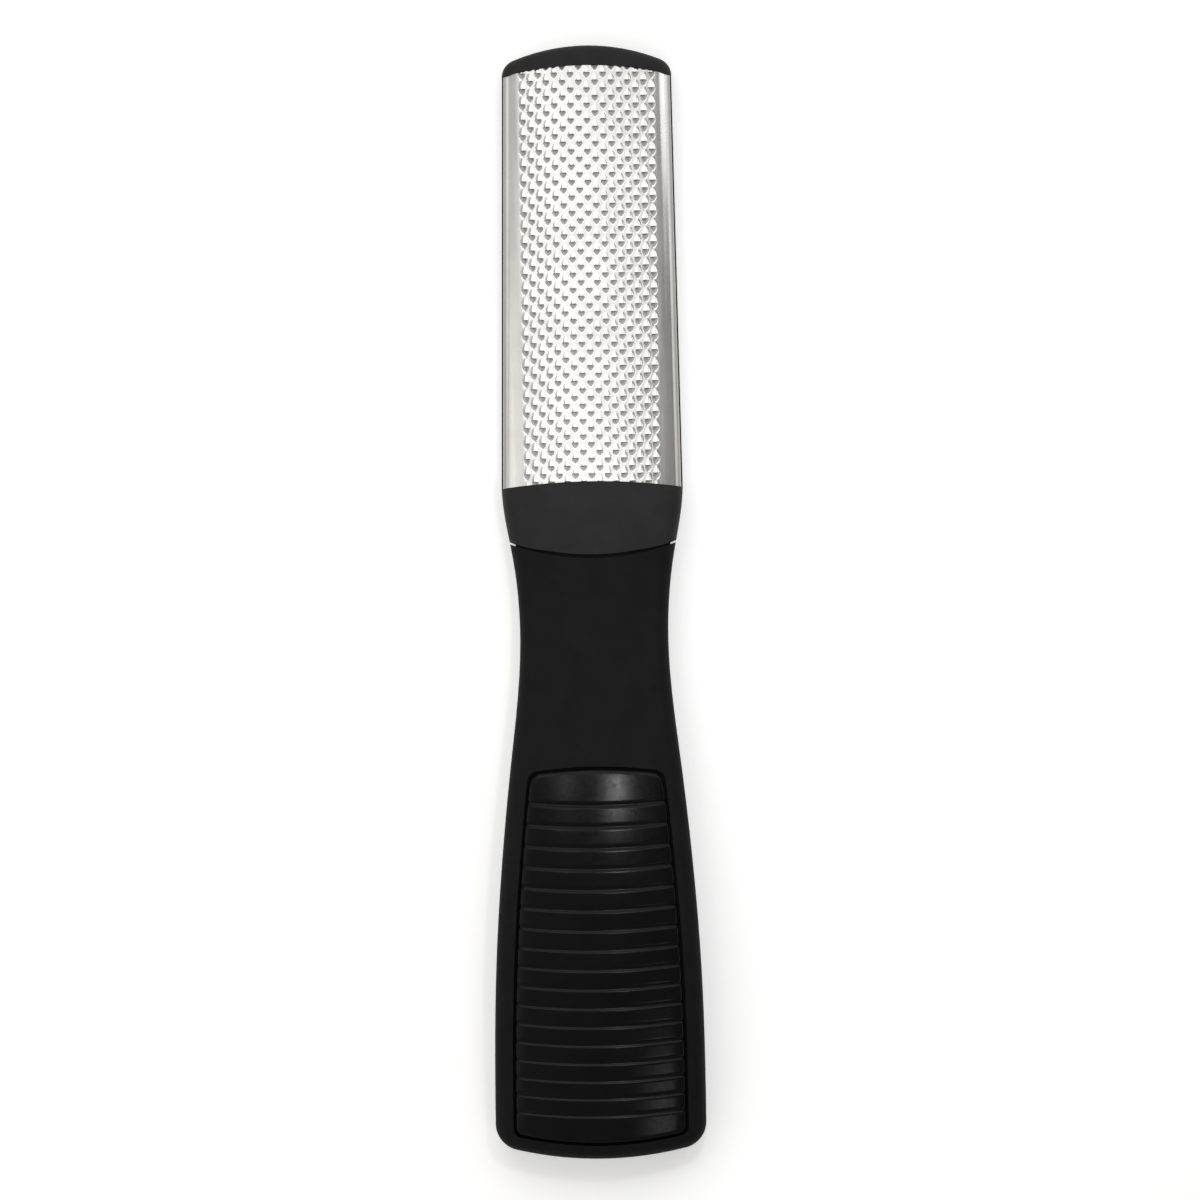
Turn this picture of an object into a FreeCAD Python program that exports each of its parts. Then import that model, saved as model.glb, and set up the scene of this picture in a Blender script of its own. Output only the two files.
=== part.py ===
"""Foot file: a crowned steel rasp plate on a moulded paddle, in a two-shell handle with grooved grip pads.

Frame: millimetres, +X to the right, +Y from the butt to the tip, +Z out of the rasp face.
The file lies on its back: Z = 0 is the plane of the emery face and of the back pad's lands.
"""

import FreeCAD, Part
import math
import os

# Lengths along the file
head_length = 114.7
handle_length = 135.3
tip_lip_length = 4.6
collar_length = 16.7
waist_below_seam = 18.8
pad_below_seam = 47.3
crest_below_seam = 76.0
heel_above_butt = 27.0

# Half-widths of the outline, and the arcs that close it
tip_half_width = 19.05
shoulder_half_width = 20.4
seam_half_width = 18.1
waist_half_width = 16.65
pad_top_half_width = 19.2
grip_half_width = 22.0
butt_half_width = 23.7
tip_arc_radius = 46.0
tip_corner_radius = 4.0
butt_arc_radius = 86.0
butt_corner_radius = 6.0
least_corner_radius = 1.5
seam_arc_radius = 53.5
collar_arc_radius = 148.0
lip_arc_radius = 87.0

# Heights of the front and the back of the handle
collar_edge_height = 13.2
collar_height = 14.1
seam_height = 13.6
waist_height = 13.9
pad_top_height = 17.0
crest_height = 18.6
heel_height = 16.9
butt_height = 12.6
collar_back = 0.6
seam_back = 1.2
waist_back = 2.2
grip_back = 0.8
butt_back = 2.0
handle_crown_radius = 80.0
front_edge_radius = 3.6
back_edge_radius = 2.4

# Rasp plate
plate_height = 12.0
plate_thickness = 0.5
plate_crown_radius = 60.0
flank_radius = 4.0
flange_height = 3.4
ledge_width = 0.35
tongue_half_width = 9.0
tongue_length = 1.2
tongue_root = 5.0
tail_half_width = 13.0
tail_length = 10.5

# Teeth of the rasp plate
tooth_pitch_across = 3.68
tooth_pitch_along = 3.46
tooth_columns = 9
tooth_from_lip = 3.25
tooth_margin = 0.5
tooth_width = 1.5
tooth_length = 1.4
tooth_height = 0.5
tooth_root = 0.1
opening_width = 1.7
opening_length = 1.3
opening_undercut = 0.12
field_rim = 0.05

# Paddle, neck and tang
core_back = 0.3
tip_rise = 0.6
tip_edge_radius = 2.6
tip_reach = 12.0
paddle_tuck = 4.0
saddle_foot = 1.0
saddle_peak = 3.0
pocket_half_width = 13.4
pocket_floor = 7.0
pocket_cells = 6
pocket_web = 1.4
pocket_margin = 4.0
neck_half_width = 14.6
neck_bottom = 2.6
peg_radius = 1.2
peg_spacing = 16.0
peg_below_edge = 6.6
tang_half_width = 12.0
tang_bottom = 5.0
tang_thickness = 5.0
tang_length = 64.0

# Emery sheet
emery_thickness = 0.7
emery_inset = 2.2
emery_corner_radius = 2.0

# Handle shells
parting_height = 7.0
wall = 2.2
seam_gap = 0.8
spigot_length = 3.0
spigot_inset = 1.2
tang_rib_thickness = 1.6
tang_rib_pitch = 20.0
tang_rib_count = 2
boss_radius = 3.8
tang_screw_below_seam = 56.0
butt_screw_above_butt = 18.0
butt_screw_spacing = 21.0

# Grip pads
pad_inset = 4.3
pad_butt_inset = 3.4
pad_thickness = 2.3
pad_proud = 0.3
pad_top_arc_radius = 95.0
pad_corner_radius = 2.4
pad_edge_radius = 0.8
groove_count = 17
groove_from_pad_top = 8.4
groove_pitch_first = 4.8
groove_pitch_last = 3.9
groove_width = 0.9
groove_depth = 0.6
groove_arc_radius = 160.0
stud_radius = 2.0
stud_length = 1.8
stud_pitch = 28.0

# Screws
screw_shank_radius = 1.45
screw_head_radius = 2.7
screw_head_height = 1.8
screw_length = 6.0

# Clearances
seat_clearance = 0.1
slip_clearance = 0.15
joint_clearance = 0.25

# How far pieces run into each other or past a cut before they are joined or trimmed
overlap = 0.5
tuck = 2.0
corner_zone = 8.0

# Places that follow from the lengths
tip_y = (head_length + handle_length) / 2
butt_y = -tip_y
seam_y = tip_y - head_length
lip_y = tip_y - tip_lip_length
collar_y = seam_y + collar_length
waist_y = seam_y - waist_below_seam
pad_top_y = seam_y - pad_below_seam
crest_y = seam_y - crest_below_seam
heel_y = butt_y + heel_above_butt
blank_top_y = collar_y + overlap
tang_end_y = seam_y - tang_length
tang_top = tang_bottom + tang_thickness
crown_axis_z = plate_height - plate_crown_radius
column_count = 2 * tooth_columns - 1
column_angle = tooth_pitch_across / 2 / plate_crown_radius
crown_angle = column_count * column_angle / 2
flank_angle = crown_angle + column_angle / 2
flat_height = crown_axis_z + plate_crown_radius * math.cos(column_angle / 2)
screw_seat = pad_thickness + screw_head_height + slip_clearance
tang_screw = (0.0, seam_y - tang_screw_below_seam)
butt_screws = [(side * butt_screw_spacing / 2, butt_y + butt_screw_above_butt) for side in (-1, 1)]
screw_places = [tang_screw] + butt_screws
stud_places = [(0.0, crest_y), (0.0, crest_y - stud_pitch)]

nib_reach = tooth_length * (tooth_height + tooth_root) / tooth_height

FAR = 60.0
TINY = 1e-6
UP = FreeCAD.Vector(0, 0, 1)
ALONG = FreeCAD.Vector(0, 1, 0)


def vec(x, y, z=0.0):
    return FreeCAD.Vector(x, y, z)


def line(a, b):
    return Part.LineSegment(a, b).toShape()


def arc(a, b, c):
    return Part.Arc(a, b, c).toShape()


def prism(edges, low, high):
    """Extrudes a closed outline, drawn at Z = 0, from one height to another."""
    face = Part.Face(Part.Wire(edges))
    face.translate(vec(0, 0, low))
    return face.extrude(vec(0, 0, high - low))


def block(half_width, y0, y1, z0, z1):
    """A box centred on the middle plane of the file."""
    return Part.makeBox(2 * half_width, y1 - y0, z1 - z0, vec(-half_width, y0, z0))


def post(place, radius, z0, z1):
    """An upright cylinder on a plan position."""
    return Part.makeCylinder(radius, z1 - z0, vec(place[0], place[1], z0), UP)


def disc(centre_y, radius):
    """A tall cylinder on the middle plane, used to trim along an arc in plan."""
    return post((0, centre_y), radius, -FAR, FAR)


def crown(radius):
    """A long cylinder along the file, concentric with the crown of the plate."""
    return Part.makeCylinder(radius, 6 * FAR, vec(0, -3 * FAR, crown_axis_z), ALONG)


def sag(radius, reach):
    """How far an arc falls away from its middle at a given reach."""
    return radius - math.sqrt(radius ** 2 - reach ** 2)


def faceted(faces):
    """A solid from its flat faces, each a ring of points."""
    skins = [Part.Face(Part.makePolygon(list(face) + [face[0]])) for face in faces]
    return Part.makeSolid(Part.makeShell(skins))


def box_faces(low, high):
    """The faces of a prism between two rings of points."""
    count = len(low)
    sides = [(low[i], low[(i + 1) % count], high[(i + 1) % count], high[i]) for i in range(count)]
    return [low, high] + sides


def upright_edges(solid, low_y, high_y):
    """The vertical edges of a prism that stand between two places along the file."""
    found = []
    for edge in solid.Edges:
        a, b = edge.Vertexes[0].Point, edge.Vertexes[-1].Point
        if math.hypot(a.x - b.x, a.y - b.y) < TINY and low_y < a.y < high_y:
            found.append(edge)
    return found


def single(shape):
    """The one solid of a boolean result."""
    if len(shape.Solids) != 1:
        raise ValueError("expected one solid, found %d" % len(shape.Solids))
    return shape.Solids[0]


# Trimming discs: the arcs that part the head, the collar and the handle

def seam_disc(growth):
    return disc(seam_y + seam_arc_radius, seam_arc_radius + growth)


def collar_disc(growth):
    return disc(collar_y - collar_arc_radius, collar_arc_radius + growth)


def lip_disc(growth):
    return disc(lip_y - lip_arc_radius, lip_arc_radius + growth)


# Outlines in plan

def handle_prism(inset, butt_inset):
    """The outline of collar and handle, drawn in by the insets, as a tall prism with round butt corners."""
    end_y = butt_y + butt_inset
    half = butt_half_width - inset
    corner = vec(half, end_y + sag(butt_arc_radius - butt_inset, half))
    points = [
        vec(shoulder_half_width - inset, blank_top_y),
        vec(seam_half_width - inset, seam_y),
        vec(waist_half_width - inset, waist_y),
        vec(pad_top_half_width - inset, pad_top_y),
        vec(grip_half_width - inset, crest_y),
        corner,
    ]
    sides = []
    for side in (1, -1):
        curve = Part.BSplineCurve()
        row = [vec(side * p.x, p.y) for p in points]
        curve.interpolate(Points=row, InitialTangent=vec(0, -1), FinalTangent=vec(0, -1))
        sides.append(curve.toShape())
    top = points[0]
    edges = [
        sides[0],
        arc(corner, vec(0, end_y), vec(-corner.x, corner.y)),
        sides[1],
        line(vec(-top.x, top.y), top),
    ]
    body = prism(edges, -FAR, FAR)
    rounding = max(butt_corner_radius - inset, least_corner_radius)
    return body.makeFillet(rounding, upright_edges(body, butt_y, waist_y))


def head_half_width(y):
    taper = (tip_half_width - shoulder_half_width) / (lip_y - collar_y)
    return shoulder_half_width + taper * (y - collar_y)


def head_prism(inset, low_y, low_z, high_z, low_corner=0.0):
    """The outline of the head above a place along the file, drawn in by the inset."""
    radius = tip_arc_radius - inset
    end_y = tip_y - inset
    x = tip_half_width - inset
    for _ in range(6):
        x = head_half_width(end_y - sag(radius, x)) - inset
    corner = vec(x, end_y - sag(radius, x))
    low = vec(head_half_width(low_y) - inset, low_y)
    edges = [
        line(vec(-low.x, low.y), low),
        line(low, corner),
        arc(corner, vec(0, end_y), vec(-corner.x, corner.y)),
        line(vec(-corner.x, corner.y), vec(-low.x, low.y)),
    ]
    body = prism(edges, low_z, high_z)
    rounding = max(tip_corner_radius - inset, least_corner_radius)
    body = body.makeFillet(rounding, upright_edges(body, lip_y - corner_zone, tip_y))
    if low_corner:
        body = body.makeFillet(low_corner, upright_edges(body, low_y - overlap, low_y + overlap))
    return body


def pad_prism(growth):
    """The outline of a grip pad, drawn out by the growth, as a tall prism with round corners."""
    body = handle_prism(pad_inset - growth, pad_butt_inset - growth)
    body = body.common(disc(pad_top_y - pad_top_arc_radius, pad_top_arc_radius + growth))
    top_corners = upright_edges(body, pad_top_y - corner_zone, pad_top_y + corner_zone)
    return body.makeFillet(pad_corner_radius + growth, top_corners)


# Front and back surfaces of the handle

def stations():
    """Place along the file, front height and back height of each section."""
    return [
        (blank_top_y, collar_edge_height, collar_back),
        (seam_y + collar_length / 2, collar_height, (collar_back + seam_back) / 2),
        (seam_y, seam_height, seam_back),
        (waist_y, waist_height, waist_back),
        (pad_top_y, pad_top_height, grip_back),
        (crest_y, crest_height, grip_back),
        (heel_y, heel_height, grip_back),
        (butt_y - 2 * overlap, butt_height, butt_back),
    ]


def side_profile(heights, shift):
    """A smooth curve along the file through the heights of its stations, moved by a shift."""
    curve = Part.BSplineCurve()
    curve.interpolate(Points=[vec(0, y, z + shift) for y, z in heights])
    return curve


def front_bar(shift):
    """Everything under the crowned front of the handle, with the front moved by a shift."""
    profile = side_profile([(y, front) for y, front, back in stations()], shift)
    half = butt_half_width + tuck
    drop = half ** 2 / (2 * handle_crown_radius)
    crown_poles = [(-half, -drop), (0, drop), (half, -drop)]
    poles = [[vec(x, p.y, p.z + z) for x, z in crown_poles] for p in profile.getPoles()]
    front = Part.BSplineSurface()
    front.buildFromPolesMultsKnots(poles, profile.getMultiplicities(), [3, 3], profile.getKnots(), [0, 1],
                                   False, False, profile.Degree, 2)
    return front.toShape().extrude(vec(0, 0, -FAR))


def back_bar(shift):
    """Everything above the back of the handle, with the back moved by a shift."""
    profile = side_profile([(y, back) for y, front, back in stations()], shift).toShape()
    half = butt_half_width + tuck
    profile.translate(vec(-half, 0))
    return profile.extrude(vec(2 * half, 0)).extrude(vec(0, 0, FAR))


def inner_body(inset):
    """The collar and handle drawn in by the same inset on every side, with square edges."""
    return handle_prism(inset, inset).common(front_bar(-inset)).common(back_bar(inset))


def rim_edges(body, front):
    """The edges round the front or the back of the blank, without its open top end."""
    found = []
    for edge in body.Edges:
        a, b = edge.Vertexes[0].Point, edge.Vertexes[-1].Point
        middle = edge.valueAt((edge.FirstParameter + edge.LastParameter) / 2)
        upright = math.hypot(a.x - b.x, a.y - b.y) < TINY
        if upright or middle.y > blank_top_y - TINY:
            continue
        if (middle.z > parting_height) == front:
            found.append(edge)
    return found


def handle_blank():
    """Collar and handle in one, with their rounded edges, before they are parted."""
    body = single(inner_body(0))
    body = body.makeFillet(front_edge_radius, rim_edges(body, True))
    return body.makeFillet(back_edge_radius, rim_edges(body, False))


# Rasp plate

def crown_point(radius, angle, y):
    """A point of the plate's section, at an angle from the top of the crown."""
    return vec(radius * math.sin(angle), y, crown_axis_z + radius * math.cos(angle))


def crown_flats(count, y0, y1, spare=0.0):
    """The middle of the crown as narrow flats, one for each column of teeth, bent a little at each joint."""
    angles = [(index - count / 2) * column_angle for index in range(count + 1)]
    outer = [crown_point(plate_crown_radius + spare, angle, y0) for angle in angles]
    inner = [crown_point(plate_crown_radius - plate_thickness - spare, angle, y0) for angle in angles]
    ring = outer + inner[::-1] + outer[:1]
    return Part.Face(Part.makePolygon(ring)).extrude(vec(0, y1 - y0, 0))


def flank_start(y, depth):
    """Where the rolled flank leaves the crown, at a depth under the plate's face."""
    x = head_half_width(y) - ledge_width - flank_radius * (1 - math.sin(flank_angle))
    corner = crown_point(plate_crown_radius, crown_angle, y)
    fall = (x - corner.x) * math.tan(flank_angle)
    return vec(x, y, corner.z - fall) - vec(math.sin(flank_angle), 0, math.cos(flank_angle)) * depth


def flank_arc(y, depth):
    """Start, middle and end of the rolled flank at a depth under the plate's face."""
    centre = flank_start(y, flank_radius)
    radius = flank_radius - depth
    angles = [flank_angle, (flank_angle + math.pi / 2) / 2, math.pi / 2]
    return [centre + vec(math.sin(angle), 0, math.cos(angle)) * radius for angle in angles]


def flank(y0, y1):
    """The right flank of the plate: a tapering flat beside the teeth, then the roll and its flange."""
    skin = plate_thickness * math.cos(column_angle / 2)
    rings = []
    for y in (y0, y1):
        outer = crown_point(plate_crown_radius, crown_angle, y)
        inner = crown_point(plate_crown_radius - plate_thickness, crown_angle, y)
        rings.append([outer, flank_start(y, 0), flank_start(y, skin), inner])
    margin = faceted(box_faces(*rings))
    outer, inner = flank_arc(y0, 0), flank_arc(y0, skin)
    foot_outer, foot_inner = vec(outer[2].x, y0), vec(inner[2].x, y0)
    section = Part.Face(Part.Wire([
        arc(*outer),
        line(outer[2], foot_outer),
        line(foot_outer, foot_inner),
        line(foot_inner, inner[2]),
        arc(*inner),
        line(inner[0], outer[0]),
    ]))
    rolled = section.extrude(flank_start(y1, 0) - flank_start(y0, 0))
    return [margin, rolled.cut(block(FAR, y0 - overlap, y1 + overlap, -FAR, flange_height))]


def tooth_rows():
    """Places of the rows of teeth along the plate, from the tip to the collar."""
    first = lip_y - tooth_from_lip
    last = collar_y + tooth_margin + opening_length
    step = tooth_pitch_along / 2
    count = int((first - last) / step) + 1
    return [first - row * step for row in range(count)]


def tooth_nib(y):
    """One raised tooth on the middle flat: a ramp that climbs to a point over its opening."""
    base = flat_height - tooth_root
    half = tooth_width / 2 * nib_reach / tooth_length
    left = vec(-half, y, base)
    right = vec(half, y, base)
    tail = vec(0, y + nib_reach, base)
    point = vec(0, y, flat_height + tooth_height)
    return faceted([(left, tail, right), (left, right, point), (right, tail, point), (tail, left, point)])


def tooth_opening(y):
    """The opening in front of one tooth on the middle flat."""
    back_y = y + opening_undercut
    left = vec(-opening_width / 2, back_y)
    right = vec(opening_width / 2, back_y)
    front = vec(0, back_y - opening_length)
    return prism([line(left, front), line(front, right), line(right, left)], 0, FAR)


def tooth_column(rows, y0, y1):
    """One flat of the crown with a tooth and an opening on each of its rows."""
    strip = crown_flats(1, y0, y1).multiFuse([tooth_nib(y) for y in rows])
    return single(strip.cut(Part.makeCompound([tooth_opening(y) for y in rows])))


def tooth_columns_between(y0, y1):
    """Every column of the toothed field, turned about the crown's axis; neighbours are half a pitch apart."""
    rows = tooth_rows()
    patterns = [tooth_column(rows[parity::2], y0, y1) for parity in (0, 1)]
    columns = []
    for index in range(column_count):
        column = patterns[1 - index % 2].copy()
        turn = (index - (column_count - 1) / 2) * column_angle
        column.rotate(vec(0, 0, crown_axis_z), ALONG, math.degrees(turn))
        columns.append(column)
    return columns


def peg_places():
    return [(side * peg_spacing / 2, collar_y - peg_below_edge) for side in (-1, 1)]


def rasp_plate():
    """Crowned sheet with rolled flanks, a tongue under the tip, a tail under the collar, and the teeth."""
    y0, y1 = collar_y - tail_length, lip_y + tongue_length
    right = flank(y0, y1)
    left = [piece.mirror(vec(0, 0), vec(1, 0)) for piece in right]
    sheet = crown_flats(column_count, y0, y1).multiFuse(right + left)
    plan = lip_disc(0).cut(collar_disc(seat_clearance))
    plan = plan.multiFuse([
        block(tongue_half_width, lip_y - tongue_root, y1, -FAR, FAR),
        block(tail_half_width, y0, collar_y, -FAR, FAR),
    ])
    rows = tooth_rows()
    field_top = rows[0] + nib_reach + field_rim
    field_bottom = rows[-1] + opening_undercut - opening_length - field_rim
    window = crown_flats(column_count, field_bottom, field_top, plate_thickness)
    holes = [post(place, peg_radius + seat_clearance, 0, FAR) for place in peg_places()]
    sheet = single(sheet.common(plan)).cut(Part.makeCompound([window] + holes))
    return single(sheet.multiFuse(tooth_columns_between(field_bottom, field_top)))


# Head core

def crumb_pocket():
    """Cells under the plate that catch the filings, parted by webs that carry the plate."""
    low, high = collar_y + pocket_margin, lip_y - pocket_margin
    pitch = (high - low + pocket_web) / pocket_cells
    cells = []
    for index in range(pocket_cells):
        start = low + index * pitch
        cells.append(block(pocket_half_width, start, start + pitch - pocket_web, pocket_floor, FAR))
    return Part.makeCompound(cells)


def tip_block():
    """The dark tip, with rounded edges and a square step down to the plate."""
    body = head_prism(0, lip_y - tip_reach, core_back, FAR).common(crown(plate_crown_radius + tip_rise))
    front = []
    for edge in body.Edges:
        middle = edge.valueAt((edge.FirstParameter + edge.LastParameter) / 2)
        ends = [v.Point.z for v in edge.Vertexes]
        if min(ends) > parting_height and middle.y > lip_y - tip_reach + overlap:
            front.append(edge)
    return body.makeFillet(tip_edge_radius, front).cut(lip_disc(seat_clearance))


def saddle(y0, y1):
    """The upper paddle: it carries the plate under the crown, with its shoulders cut back under the rolls."""
    gap = plate_thickness + seat_clearance
    wires = []
    for y in (y0, y1):
        start, _, end = flank_arc(y, gap)
        half = [vec(end.x, y, core_back + saddle_foot), end, start]
        ring = half + [vec(0, y, plate_height + saddle_peak)] + [vec(-p.x, p.y, p.z) for p in half[::-1]]
        wires.append(Part.makePolygon(ring + ring[:1]))
    return Part.makeLoft(wires, True, True).common(crown(plate_crown_radius - gap))


def neck(growth, top_radius):
    """The part of the core inside the collar, drawn out by a growth."""
    body = block(neck_half_width + growth, tang_end_y, collar_y + tuck, neck_bottom - growth, FAR)
    return body.common(crown(top_radius))


def emery_prism(growth, low_z, high_z):
    inset = emery_inset - growth
    return head_prism(inset, collar_y + inset, low_z, high_z, emery_corner_radius + growth)


def head_core():
    """Paddle, tip, neck and tang in one moulding."""
    seat = plate_thickness + seat_clearance
    ledge = head_prism(0, collar_y - paddle_tuck, core_back, flange_height - seat_clearance)
    paddle = saddle(collar_y - paddle_tuck, lip_y + tuck).common(lip_disc(overlap))
    paddle = paddle.fuse(ledge).cut(collar_disc(seat_clearance))
    seat_crown = plate_crown_radius - seat
    inner = neck(0, seat_crown).common(seam_disc(-spigot_length - joint_clearance))
    tang = block(tang_half_width, tang_end_y, collar_y, tang_bottom, tang_top)
    under_collar = crown(plate_crown_radius)
    pegs = [post(place, peg_radius, pocket_floor, FAR).common(under_collar) for place in peg_places()]
    core = paddle.multiFuse([tip_block(), inner, tang] + pegs)
    slot = crown(plate_crown_radius + seat_clearance).cut(crown(seat_crown))
    slot = slot.common(block(tongue_half_width + slip_clearance, lip_y - tongue_root,
                             lip_y + tongue_length + slip_clearance, 0, FAR))
    core = core.cut(slot).cut(crumb_pocket())
    core = core.cut(emery_prism(slip_clearance, 0, emery_thickness))
    hole = post(tang_screw, boss_radius + joint_clearance, 0, FAR)
    return single(core.cut(hole))


def emery_sheet():
    return emery_prism(0, 0, emery_thickness)


# Collar and handle shells

def collar(blank):
    """Domed ring over the neck and the tail of the plate, with a pocket for the handle's spigot."""
    ring = blank.common(seam_disc(-seam_gap / 2)).common(collar_disc(0))
    pocket = inner_body(spigot_inset - slip_clearance).cut(seam_disc(-spigot_length - slip_clearance))
    aperture = neck(slip_clearance, plate_crown_radius + seat_clearance)
    return single(ring.cut(pocket).cut(aperture))


def handle_body(blank):
    """The handle below the seam with its spigot, hollowed, with the slot for the tang."""
    body = blank.cut(seam_disc(seam_gap / 2))
    spigot = inner_body(spigot_inset).common(seam_disc(seam_gap / 2 + overlap)).cut(seam_disc(-spigot_length))
    hollow = inner_body(wall).cut(seam_disc(wall - spigot_length))
    floor_end = pad_top_y + wall
    lower = block(FAR, butt_y, floor_end, -FAR, FAR)
    front_floor = lower.cut(front_bar(pad_proud - pad_thickness - wall))
    back_floor = block(FAR, butt_y, floor_end, -FAR, pad_thickness + wall)
    hollow = hollow.cut(front_floor).cut(back_floor)
    passage = block(tang_half_width + slip_clearance, tang_end_y, collar_y,
                    tang_bottom - slip_clearance, tang_top + slip_clearance)
    return body.fuse(spigot).cut(hollow).cut(passage)


def tang_ribs(z0, z1):
    """Cross ribs that clamp the tang from one side."""
    ribs = []
    for index in range(tang_rib_count):
        start = seam_y - wall - index * tang_rib_pitch - 2 * tang_rib_thickness
        ribs.append(block(tang_half_width, start, start + tang_rib_thickness, z0, z1))
    return ribs


def front_recess():
    return pad_prism(joint_clearance).cut(front_bar(pad_proud - pad_thickness))


def handle_front_shell(body):
    """Front half of the handle with the pad recess and the screw bosses."""
    half = body.common(block(FAR, -3 * FAR, 3 * FAR, parting_height, FAR))
    inside = inner_body(wall / 2)
    posts = [post(place, boss_radius, parting_height, FAR) for place in screw_places]
    fill = Part.makeCompound(posts + tang_ribs(tang_top, FAR)).common(inside)
    half = half.fuse(fill).cut(front_recess())
    pilots = [post(place, screw_shank_radius, 0, screw_seat + screw_length + slip_clearance)
              for place in screw_places]
    stud_seat = stud_radius + seat_clearance / 2
    studs = [post(place, stud_seat, parting_height + wall, FAR) for place in stud_places]
    return single(half.cut(Part.makeCompound(pilots + studs)))


def handle_back_shell(body):
    """Back half of the handle with the pad recess and the sunk screw seats."""
    half = body.common(block(FAR, -3 * FAR, 3 * FAR, -FAR, parting_height))
    inside = inner_body(wall / 2)
    posts = [post(place, boss_radius, 0, parting_height) for place in screw_places]
    fill = Part.makeCompound(posts + tang_ribs(0, tang_bottom)).common(inside)
    recess = pad_prism(joint_clearance).common(block(FAR, butt_y, seam_y, -FAR, pad_thickness))
    half = half.fuse(fill).cut(recess)
    holes = []
    for place in screw_places:
        holes.append(post(place, screw_head_radius + slip_clearance, 0, screw_seat))
        holes.append(post(place, screw_shank_radius + slip_clearance, 0, FAR))
    for place in stud_places:
        holes.append(post(place, stud_radius + seat_clearance / 2, 0, pad_thickness + wall))
    return single(half.cut(Part.makeCompound(holes)))


def handle_screws():
    """Self-tapping screws, heads sunk under the back pad, points in the front bosses."""
    screws = []
    for place in screw_places:
        head = post(place, screw_head_radius, screw_seat - screw_head_height, screw_seat)
        shank = post(place, screw_shank_radius, screw_seat - overlap, screw_seat + screw_length)
        screws.append(single(head.fuse(shank)))
    return Part.makeCompound(screws)


# Grip pads

def groove_places():
    """Places of the grooves along a pad, closing up a little towards the butt."""
    places = [pad_top_y - groove_from_pad_top]
    for index in range(groove_count - 1):
        share = index / (groove_count - 2)
        places.append(places[-1] - groove_pitch_first - (groove_pitch_last - groove_pitch_first) * share)
    return places


def groove_bands(low_z, high_z):
    """Narrow curved bands across a pad, bowed towards the butt."""
    reach = butt_half_width
    rise = sag(groove_arc_radius, reach)
    bands = []
    for y in groove_places():
        low, high = y - groove_width / 2, y + groove_width / 2
        rows = [(vec(-reach, place + rise), vec(0, place), vec(reach, place + rise)) for place in (low, high)]
        edges = [arc(*rows[0]), line(rows[0][2], rows[1][2]), arc(*rows[1]), line(rows[1][0], rows[0][0])]
        bands.append(prism(edges, low_z, high_z))
    return Part.makeCompound(bands)


def broad_rim(pad, front):
    """The edges round the front or the back face of a pad."""
    broad = sorted(pad.Faces, key=lambda face: face.Area)[-2:]
    broad.sort(key=lambda face: face.CenterOfMass.z)
    return broad[1 if front else 0].Edges


def front_grip_pad():
    """Grooved pad that follows the crowned front of the handle, with studs behind."""
    pad = pad_prism(0).common(front_bar(pad_proud)).cut(front_bar(pad_proud - pad_thickness))
    pad = single(pad)
    pad = pad.makeFillet(pad_edge_radius, broad_rim(pad, True))
    pad = pad.cut(groove_bands(0, FAR).cut(front_bar(pad_proud - groove_depth)))
    studs = Part.makeCompound([post(place, stud_radius, 0, FAR) for place in stud_places])
    studs = studs.common(front_bar(pad_proud - pad_thickness + overlap))
    studs = studs.cut(front_bar(pad_proud - pad_thickness - stud_length))
    return single(pad.fuse(studs))


def back_grip_pad():
    """Flat grooved pad on the back of the handle, with studs behind."""
    pad = pad_prism(0).common(block(FAR, -3 * FAR, 3 * FAR, 0, pad_thickness))
    pad = pad.makeFillet(pad_edge_radius, broad_rim(pad, False))
    pad = pad.cut(groove_bands(-overlap, groove_depth))
    stud_top = pad_thickness + stud_length
    studs = [post(place, stud_radius, pad_thickness - overlap, stud_top) for place in stud_places]
    return single(pad.multiFuse(studs))


blank = handle_blank()
body = handle_body(blank)
pieces = {
    "head_core": head_core(),
    "rasp_plate": rasp_plate(),
    "emery_sheet": emery_sheet(),
    "collar": collar(blank),
    "handle_front_shell": handle_front_shell(body),
    "handle_back_shell": handle_back_shell(body),
    "front_grip_pad": front_grip_pad(),
    "back_grip_pad": back_grip_pad(),
    "handle_screws": handle_screws(),
}

os.makedirs("parts", exist_ok=True)
for name, shape in pieces.items():
    shape.exportStep("parts/%s.step" % name)
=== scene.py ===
import math
from collections import namedtuple
import bpy
import bmesh
import numpy as np
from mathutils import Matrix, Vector, noise


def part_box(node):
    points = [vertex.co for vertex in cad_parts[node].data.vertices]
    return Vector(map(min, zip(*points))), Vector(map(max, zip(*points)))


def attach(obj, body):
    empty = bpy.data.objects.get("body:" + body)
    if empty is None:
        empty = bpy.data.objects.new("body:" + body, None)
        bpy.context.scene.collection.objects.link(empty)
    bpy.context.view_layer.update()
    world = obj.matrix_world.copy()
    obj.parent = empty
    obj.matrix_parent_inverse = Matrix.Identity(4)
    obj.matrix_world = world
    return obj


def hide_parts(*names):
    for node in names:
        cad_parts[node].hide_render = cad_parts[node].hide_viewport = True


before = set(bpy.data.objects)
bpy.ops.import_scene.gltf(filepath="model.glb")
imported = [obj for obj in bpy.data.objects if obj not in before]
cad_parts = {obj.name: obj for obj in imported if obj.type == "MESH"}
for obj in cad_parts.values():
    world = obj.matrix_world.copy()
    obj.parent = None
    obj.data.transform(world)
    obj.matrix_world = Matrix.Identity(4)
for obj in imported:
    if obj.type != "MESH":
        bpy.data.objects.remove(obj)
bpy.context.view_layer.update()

MM = 0.001

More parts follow.
